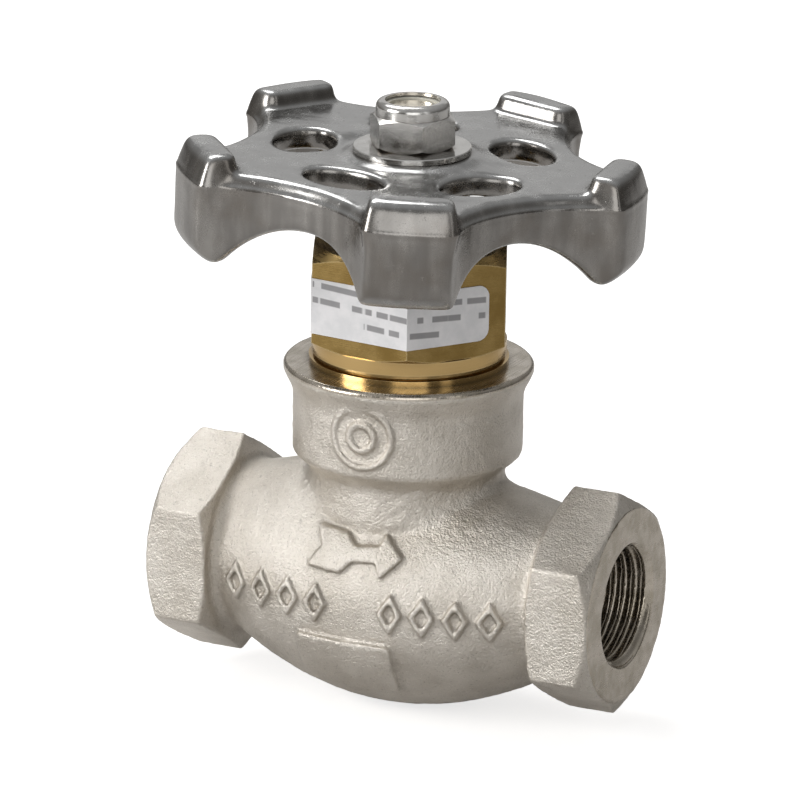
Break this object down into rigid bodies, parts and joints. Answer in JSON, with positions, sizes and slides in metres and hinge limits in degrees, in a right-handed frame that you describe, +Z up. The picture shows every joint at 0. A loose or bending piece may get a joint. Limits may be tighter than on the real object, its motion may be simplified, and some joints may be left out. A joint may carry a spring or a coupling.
{
  "type": "globe valve",
  "caption": "Threaded globe valve with a plated cast body, brass hexagon bonnet, spring-loaded packing, rising stem with soft seat disc and a lobed cast handwheel.",
  "frame": {"origin": "on the stem axis, level with the lowest point of the body, 22.4 mm under the pipe axis", "axes": "+X along the pipe axis in the direction of flow, +Z up along the stem axis towards the handwheel"},
  "size_m": [0.081, 0.0767, 0.1034],
  "materials": {
    "nickel_plated_casting": "blasted casting with satin nickel plate",
    "fibre_gasket": "pressed fibre",
    "brass": "machined, rings polished",
    "brass_fittings": "machined",
    "spring_steel": "drawn wire",
    "ptfe": "smooth white",
    "black_rubber": "matte",
    "label_film": "printed white film",
    "stem_brass": "turned",
    "stainless": "turned",
    "die_cast_aluminium": "polished die casting",
    "bright_steel": "zinc and nickel bright plate",
    "nylon": "natural"
  },
  "bodies": {
    "valve": {"valve_body": "nickel_plated_casting", "bonnet_gasket": "fibre_gasket", "bonnet": "brass", "packing_base_washer": "brass_fittings", "packing_spring": "spring_steel", "packing_follower": "brass_fittings", "packing_bottom_adapter": "brass_fittings", "packing_rings": "ptfe", "packing_top_adapter": "brass_fittings", "packing_nut": "brass_fittings", "stem_wiper": "black_rubber", "rating_label": "label_film"},
    "disc": {"disc_holder": "brass_fittings", "swivel_nut": "brass_fittings", "seat_disc": "ptfe", "disc_washer": "stainless", "disc_screw": "stainless"},
    "spindle": {"stem": "stem_brass", "backseat_washer": "ptfe", "handwheel": "die_cast_aluminium", "wheel_washer": "bright_steel", "locknut_shell": "bright_steel", "locknut_insert": "nylon"}
  },
  "joints": [
    {"name": "disc_lift", "type": "slide", "parent": "valve", "child": "disc", "axis": [0, 0, 1], "range_m": [0, 0.00635]},
    {"name": "wheel_turn", "type": "hinge", "parent": "disc", "child": "spindle", "pos_m": [0, 0, 0.0824], "axis": [0, 0, 1], "range_deg": [0, 1080]}
  ],
  "couplings": [
    {"joint": "disc_lift", "follows": "wheel_turn", "m_per_rad": 0.00033688}
  ]
}
